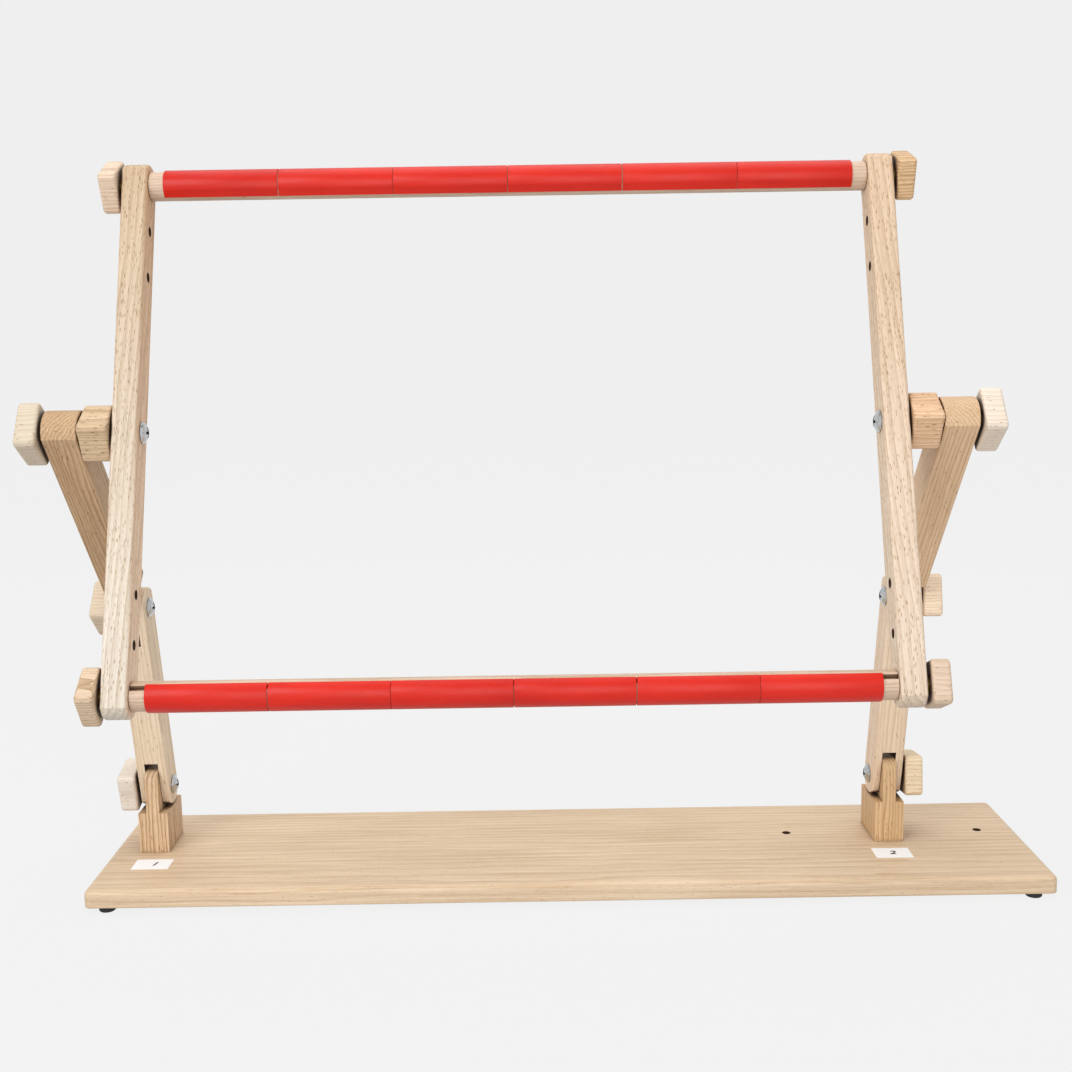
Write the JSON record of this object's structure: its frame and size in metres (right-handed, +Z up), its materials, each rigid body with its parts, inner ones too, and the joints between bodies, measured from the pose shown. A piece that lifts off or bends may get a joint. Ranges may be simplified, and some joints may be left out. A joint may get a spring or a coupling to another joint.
{
  "type": "needlework roller frame stand",
  "caption": "Table-top needlework loom: a tilting frame of two side bars and clip-covered rollers, on folding side arms with wooden clamp knobs, over a wide board with rubber feet.",
  "frame": {"origin": "on the table under the middle of the object's overall box", "axes": "+Z up, front of the frame faces -Y, +X to the right as seen from the front, along the rollers"},
  "size_m": [0.94, 0.4061, 0.7051],
  "materials": {
    "beech_board": "satin clear-oiled beech, long straight grain",
    "beech_dark": "bare sanded beech, warmer and darker",
    "beech_arm": "bare sanded beech",
    "beech_pale": "bare sanded beech, pale with short dark flecks",
    "beech_knob": "bare sanded beech, pale, end grain and side grain mixed",
    "red_plastic": "moulded red plastic, satin gloss",
    "zinc_steel": "bright zinc plated",
    "brass_insert": "turned brass",
    "rubber_black": "matt black",
    "paper_label": "white coated paper sticker"
  },
  "bodies": {
    "base": {"base_board": "beech_board", "rubber_feet": "rubber_black", "base_screws": "zinc_steel", "position_labels": "paper_label", "left_post": "beech_dark", "right_post": "beech_dark"},
    "left_lower_arm": {"left_lower_arm": "beech_arm", "left_base_bolt": "zinc_steel", "left_elbow_bolt": "zinc_steel", "left_arm_washers": "zinc_steel"},
    "left_upper_arm": {"left_upper_arm": "beech_arm"},
    "right_lower_arm": {"right_lower_arm": "beech_arm", "right_base_bolt": "zinc_steel", "right_elbow_bolt": "zinc_steel", "right_arm_washers": "zinc_steel"},
    "right_upper_arm": {"right_upper_arm": "beech_arm"},
    "roller_frame": {"left_side_bar": "beech_pale", "right_side_bar": "beech_pale", "left_spacer_block": "beech_dark", "right_spacer_block": "beech_dark", "left_shoulder_bolt": "zinc_steel", "right_shoulder_bolt": "zinc_steel", "frame_washers": "zinc_steel"},
    "top_roller": {"top_roller": "beech_pale", "top_roller_studs": "zinc_steel", "top_clip_1": "red_plastic", "top_clip_2": "red_plastic", "top_clip_3": "red_plastic", "top_clip_4": "red_plastic", "top_clip_5": "red_plastic", "top_clip_6": "red_plastic"},
    "bottom_roller": {"bottom_roller": "beech_pale", "bottom_roller_studs": "zinc_steel", "bottom_clip_1": "red_plastic", "bottom_clip_2": "red_plastic", "bottom_clip_3": "red_plastic", "bottom_clip_4": "red_plastic", "bottom_clip_5": "red_plastic", "bottom_clip_6": "red_plastic"},
    "left_base_knob": {"left_base_knob": "beech_knob", "left_base_knob_insert": "brass_insert"},
    "left_elbow_knob": {"left_elbow_knob": "beech_knob", "left_elbow_knob_insert": "brass_insert"},
    "left_shoulder_knob": {"left_shoulder_knob": "beech_knob", "left_shoulder_knob_insert": "brass_insert"},
    "right_base_knob": {"right_base_knob": "beech_knob", "right_base_knob_insert": "brass_insert"},
    "right_elbow_knob": {"right_elbow_knob": "beech_knob", "right_elbow_knob_insert": "brass_insert"},
    "right_shoulder_knob": {"right_shoulder_knob": "beech_knob", "right_shoulder_knob_insert": "brass_insert"},
    "top_left_roller_knob": {"top_left_roller_knob": "beech_knob", "top_left_roller_knob_insert": "brass_insert"},
    "top_right_roller_knob": {"top_right_roller_knob": "beech_knob", "top_right_roller_knob_insert": "brass_insert"},
    "bottom_left_roller_knob": {"bottom_left_roller_knob": "beech_knob", "bottom_left_roller_knob_insert": "brass_insert"},
    "bottom_right_roller_knob": {"bottom_right_roller_knob": "beech_knob", "bottom_right_roller_knob_insert": "brass_insert"}
  },
  "joints": [
    {"name": "left_base_pivot", "type": "hinge", "parent": "base", "child": "left_lower_arm", "pos_m": [-0.426, 0.1155, 0.089], "axis": [1, 0, 0], "range_deg": [-30, 20]},
    {"name": "left_elbow_pivot", "type": "hinge", "parent": "left_lower_arm", "child": "left_upper_arm", "pos_m": [-0.426, 0.06348, 0.28729], "axis": [1, 0, 0], "range_deg": [-60, 30]},
    {"name": "right_base_pivot", "type": "hinge", "parent": "base", "child": "right_lower_arm", "pos_m": [0.33, 0.1155, 0.089], "axis": [1, 0, 0], "range_deg": [-30, 20]},
    {"name": "right_elbow_pivot", "type": "hinge", "parent": "right_lower_arm", "child": "right_upper_arm", "pos_m": [0.33, 0.06348, 0.28729], "axis": [1, 0, 0], "range_deg": [-60, 30]},
    {"name": "frame_tilt", "type": "hinge", "parent": "left_upper_arm", "child": "roller_frame", "pos_m": [-0.048, -0.1051, 0.4719], "axis": [1, 0, 0], "range_deg": [-70, 90]},
    {"name": "top_roller_turn", "type": "hinge", "parent": "roller_frame", "child": "top_roller", "pos_m": [-0.048, -0.03084, 0.68218], "axis": [1, 0, 0], "continuous": true},
    {"name": "bottom_roller_turn", "type": "hinge", "parent": "roller_frame", "child": "bottom_roller", "pos_m": [-0.048, -0.17935, 0.26163], "axis": [1, 0, 0], "continuous": true},
    {"name": "left_base_knob_turn", "type": "hinge", "parent": "left_lower_arm", "child": "left_base_knob", "pos_m": [-0.453, 0.1155, 0.089], "axis": [-1, 0, 0], "range_deg": [0, 360]},
    {"name": "left_elbow_knob_turn", "type": "hinge", "parent": "left_lower_arm", "child": "left_elbow_knob", "pos_m": [-0.453, 0.06348, 0.28729], "axis": [-1, 0, 0], "range_deg": [0, 360]},
    {"name": "left_shoulder_knob_turn", "type": "hinge", "parent": "roller_frame", "child": "left_shoulder_knob", "pos_m": [-0.453, -0.1051, 0.4719], "axis": [-1, 0, 0], "range_deg": [0, 360]},
    {"name": "right_base_knob_turn", "type": "hinge", "parent": "right_lower_arm", "child": "right_base_knob", "pos_m": [0.357, 0.1155, 0.089], "axis": [1, 0, 0], "range_deg": [0, 360]},
    {"name": "right_elbow_knob_turn", "type": "hinge", "parent": "right_lower_arm", "child": "right_elbow_knob", "pos_m": [0.357, 0.06348, 0.28729], "axis": [1, 0, 0], "range_deg": [0, 360]},
    {"name": "right_shoulder_knob_turn", "type": "hinge", "parent": "roller_frame", "child": "right_shoulder_knob", "pos_m": [0.357, -0.1051, 0.4719], "axis": [1, 0, 0], "range_deg": [0, 360]},
    {"name": "top_left_roller_knob_turn", "type": "hinge", "parent": "top_roller", "child": "top_left_roller_knob", "pos_m": [-0.394, -0.03084, 0.68218], "axis": [-1, 0, 0], "range_deg": [0, 360]},
    {"name": "top_right_roller_knob_turn", "type": "hinge", "parent": "top_roller", "child": "top_right_roller_knob", "pos_m": [0.298, -0.03084, 0.68218], "axis": [1, 0, 0], "range_deg": [0, 360]},
    {"name": "bottom_left_roller_knob_turn", "type": "hinge", "parent": "bottom_roller", "child": "bottom_left_roller_knob", "pos_m": [-0.394, -0.17935, 0.26163], "axis": [-1, 0, 0], "range_deg": [0, 360]},
    {"name": "bottom_right_roller_knob_turn", "type": "hinge", "parent": "bottom_roller", "child": "bottom_right_roller_knob", "pos_m": [0.298, -0.17935, 0.26163], "axis": [1, 0, 0], "range_deg": [0, 360]}
  ],
  "couplings": [
    {"joint": "right_base_pivot", "follows": "left_base_pivot", "ratio": 1},
    {"joint": "right_elbow_pivot", "follows": "left_elbow_pivot", "ratio": 1}
  ]
}
